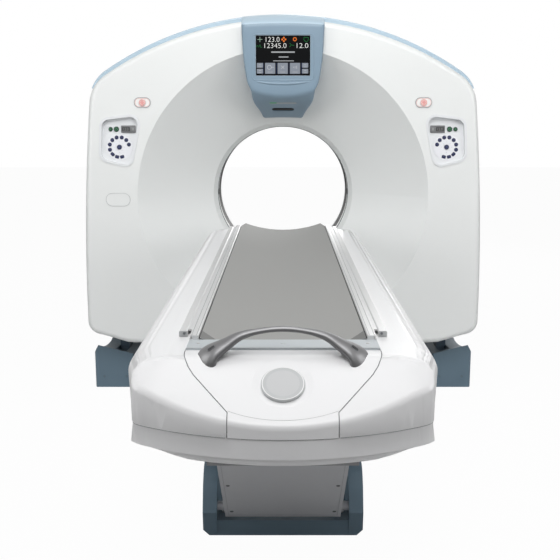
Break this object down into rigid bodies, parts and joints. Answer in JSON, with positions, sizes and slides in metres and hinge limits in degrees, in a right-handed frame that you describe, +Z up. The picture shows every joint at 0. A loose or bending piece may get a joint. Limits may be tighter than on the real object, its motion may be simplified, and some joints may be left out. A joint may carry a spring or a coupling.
{
  "type": "ct scanner",
  "caption": "Tilting ring-shaped body scanner with a funnel bore, a turning tube and detector ring inside, and a lifting table with a long sliding cradle.",
  "frame": {"origin": "on the floor under the middle of the bore, on the underside of the gantry's base beam", "axes": "+X across the scanner to the viewer's right, +Y along the bore from the patient table into the gantry, +Z up"},
  "size_m": [2.02, 3.56, 1.927],
  "materials": {
    "cover_white": "satin",
    "cover_blue_grey": "satin",
    "housing_blue_grey": "satin",
    "base_blue": "satin",
    "panel_grey": "matte",
    "key_blue": "matte",
    "key_green": "satin",
    "key_grey": "matte",
    "stop_red": "gloss",
    "bezel_white": "satin",
    "screen_glass": "gloss",
    "strip_lens": "satin",
    "black_plastic": "matte",
    "rubber_black": "matte",
    "cast_metal": "satin",
    "steel": "brushed",
    "aluminium": "satin",
    "laminate_grey": "satin",
    "arm_grey": "satin",
    "strip_pale": "satin"
  },
  "bodies": {
    "base": {"gantry_base_frame": "cast_metal", "tilt_bushings": "steel", "tilt_drive": "cast_metal", "base_pods": "base_blue", "table_base": "base_blue", "floor_duct": "base_blue", "lift_gearmotor": "cast_metal"},
    "gantry": {"access_hatch": "bezel_white", "bearing_outer_ring": "steel", "brush_block": "black_plastic", "control_panel_left": "panel_grey", "control_panel_right": "panel_grey", "display_housing": "housing_blue_grey", "display_screen": "screen_glass", "drive_belt": "rubber_black", "drive_motor": "cast_metal", "front_cover": "cover_white", "intercom_slot": "black_plastic", "keypads": "key_blue", "light_strip": "strip_lens", "readouts": "screen_glass", "rear_cover": "cover_white", "scan_window": "black_plastic", "seal_ring": "rubber_black", "stop_bezels": "bezel_white", "throat_liner_front": "cover_white", "throat_liner_rear": "cover_white", "tilt_frame": "cast_metal", "top_cover": "cover_blue_grey"},
    "rotor": {"rotor_disc": "aluminium", "bearing_inner_ring": "steel", "slip_ring": "black_plastic", "xray_tube": "steel", "collimator": "aluminium", "detector_arc": "aluminium", "high_voltage_tank": "cast_metal", "heat_exchanger": "aluminium", "counterweight": "steel"},
    "pulley": {"drive_pulley": "steel"},
    "front_arm": {"front_swing_arm": "arm_grey"},
    "rear_arm": {"rear_swing_arm": "cast_metal"},
    "carriage": {"table_shell": "cover_white", "carriage_tub": "arm_grey", "carriage_frame": "cast_metal", "guide_rails": "aluminium", "upper_pins": "steel"},
    "cradle": {"cradle_pan": "laminate_grey", "side_rails": "aluminium", "end_strip": "strip_pale", "tail_cover": "cover_white", "cradle_handle": "steel", "roundel": "bezel_white"},
    "stop_button_left": {"stop_button_left": "stop_red"},
    "start_key_left": {"start_key_left": "key_green"},
    "option_key_left": {"option_key_left": "key_grey"},
    "centre_key_left": {"centre_key_left": "key_blue"},
    "stop_button_right": {"stop_button_right": "stop_red"},
    "start_key_right": {"start_key_right": "key_green"},
    "option_key_right": {"option_key_right": "key_grey"},
    "centre_key_right": {"centre_key_right": "key_blue"}
  },
  "joints": [
    {"name": "gantry_tilt", "type": "hinge", "parent": "base", "child": "gantry", "pos_m": [0, 0, 1.035], "axis": [1, 0, 0], "range_deg": [-30, 30]},
    {"name": "rotor_spin", "type": "hinge", "parent": "gantry", "child": "rotor", "pos_m": [0, 0, 1.035], "axis": [0, 1, 0], "continuous": true},
    {"name": "pulley_spin", "type": "hinge", "parent": "gantry", "child": "pulley", "pos_m": [-0.59675, 0, 0.53427], "axis": [0, 1, 0], "continuous": true},
    {"name": "table_lift", "type": "hinge", "parent": "base", "child": "rear_arm", "pos_m": [0, -1.4, 0.1], "axis": [-1, 0, 0], "range_deg": [-34, 6]},
    {"name": "front_arm_swing", "type": "hinge", "parent": "base", "child": "front_arm", "pos_m": [0, -1.995, 0.1], "axis": [-1, 0, 0], "range_deg": [-34, 6]},
    {"name": "carriage_level", "type": "hinge", "parent": "rear_arm", "child": "carriage", "pos_m": [0, -2.01144, 0.69046], "axis": [-1, 0, 0], "range_deg": [-6, 34]},
    {"name": "cradle_slide", "type": "slide", "parent": "carriage", "child": "cradle", "axis": [0, 1, 0], "range_m": [0, 1.7]},
    {"name": "stop_button_left_press", "type": "slide", "parent": "gantry", "child": "stop_button_left", "axis": [0, 1, 0], "range_m": [0, 0.004], "stiffness_N_per_m": 2000, "springref_m": -0.002},
    {"name": "start_key_left_press", "type": "slide", "parent": "gantry", "child": "start_key_left", "axis": [0, 1, 0], "range_m": [0, 0.002], "stiffness_N_per_m": 1500, "springref_m": -0.001},
    {"name": "option_key_left_press", "type": "slide", "parent": "gantry", "child": "option_key_left", "axis": [0, 1, 0], "range_m": [0, 0.002], "stiffness_N_per_m": 1500, "springref_m": -0.001},
    {"name": "centre_key_left_press", "type": "slide", "parent": "gantry", "child": "centre_key_left", "axis": [0, 1, 0], "range_m": [0, 0.002], "stiffness_N_per_m": 1500, "springref_m": -0.001},
    {"name": "stop_button_right_press", "type": "slide", "parent": "gantry", "child": "stop_button_right", "axis": [0, 1, 0], "range_m": [0, 0.004], "stiffness_N_per_m": 2000, "springref_m": -0.002},
    {"name": "start_key_right_press", "type": "slide", "parent": "gantry", "child": "start_key_right", "axis": [0, 1, 0], "range_m": [0, 0.002], "stiffness_N_per_m": 1500, "springref_m": -0.001},
    {"name": "option_key_right_press", "type": "slide", "parent": "gantry", "child": "option_key_right", "axis": [0, 1, 0], "range_m": [0, 0.002], "stiffness_N_per_m": 1500, "springref_m": -0.001},
    {"name": "centre_key_right_press", "type": "slide", "parent": "gantry", "child": "centre_key_right", "axis": [0, 1, 0], "range_m": [0, 0.002], "stiffness_N_per_m": 1500, "springref_m": -0.001}
  ],
  "couplings": [
    {"joint": "pulley_spin", "follows": "rotor_spin", "ratio": 14.1},
    {"joint": "front_arm_swing", "follows": "table_lift", "ratio": 1},
    {"joint": "carriage_level", "follows": "table_lift", "ratio": -1}
  ]
}
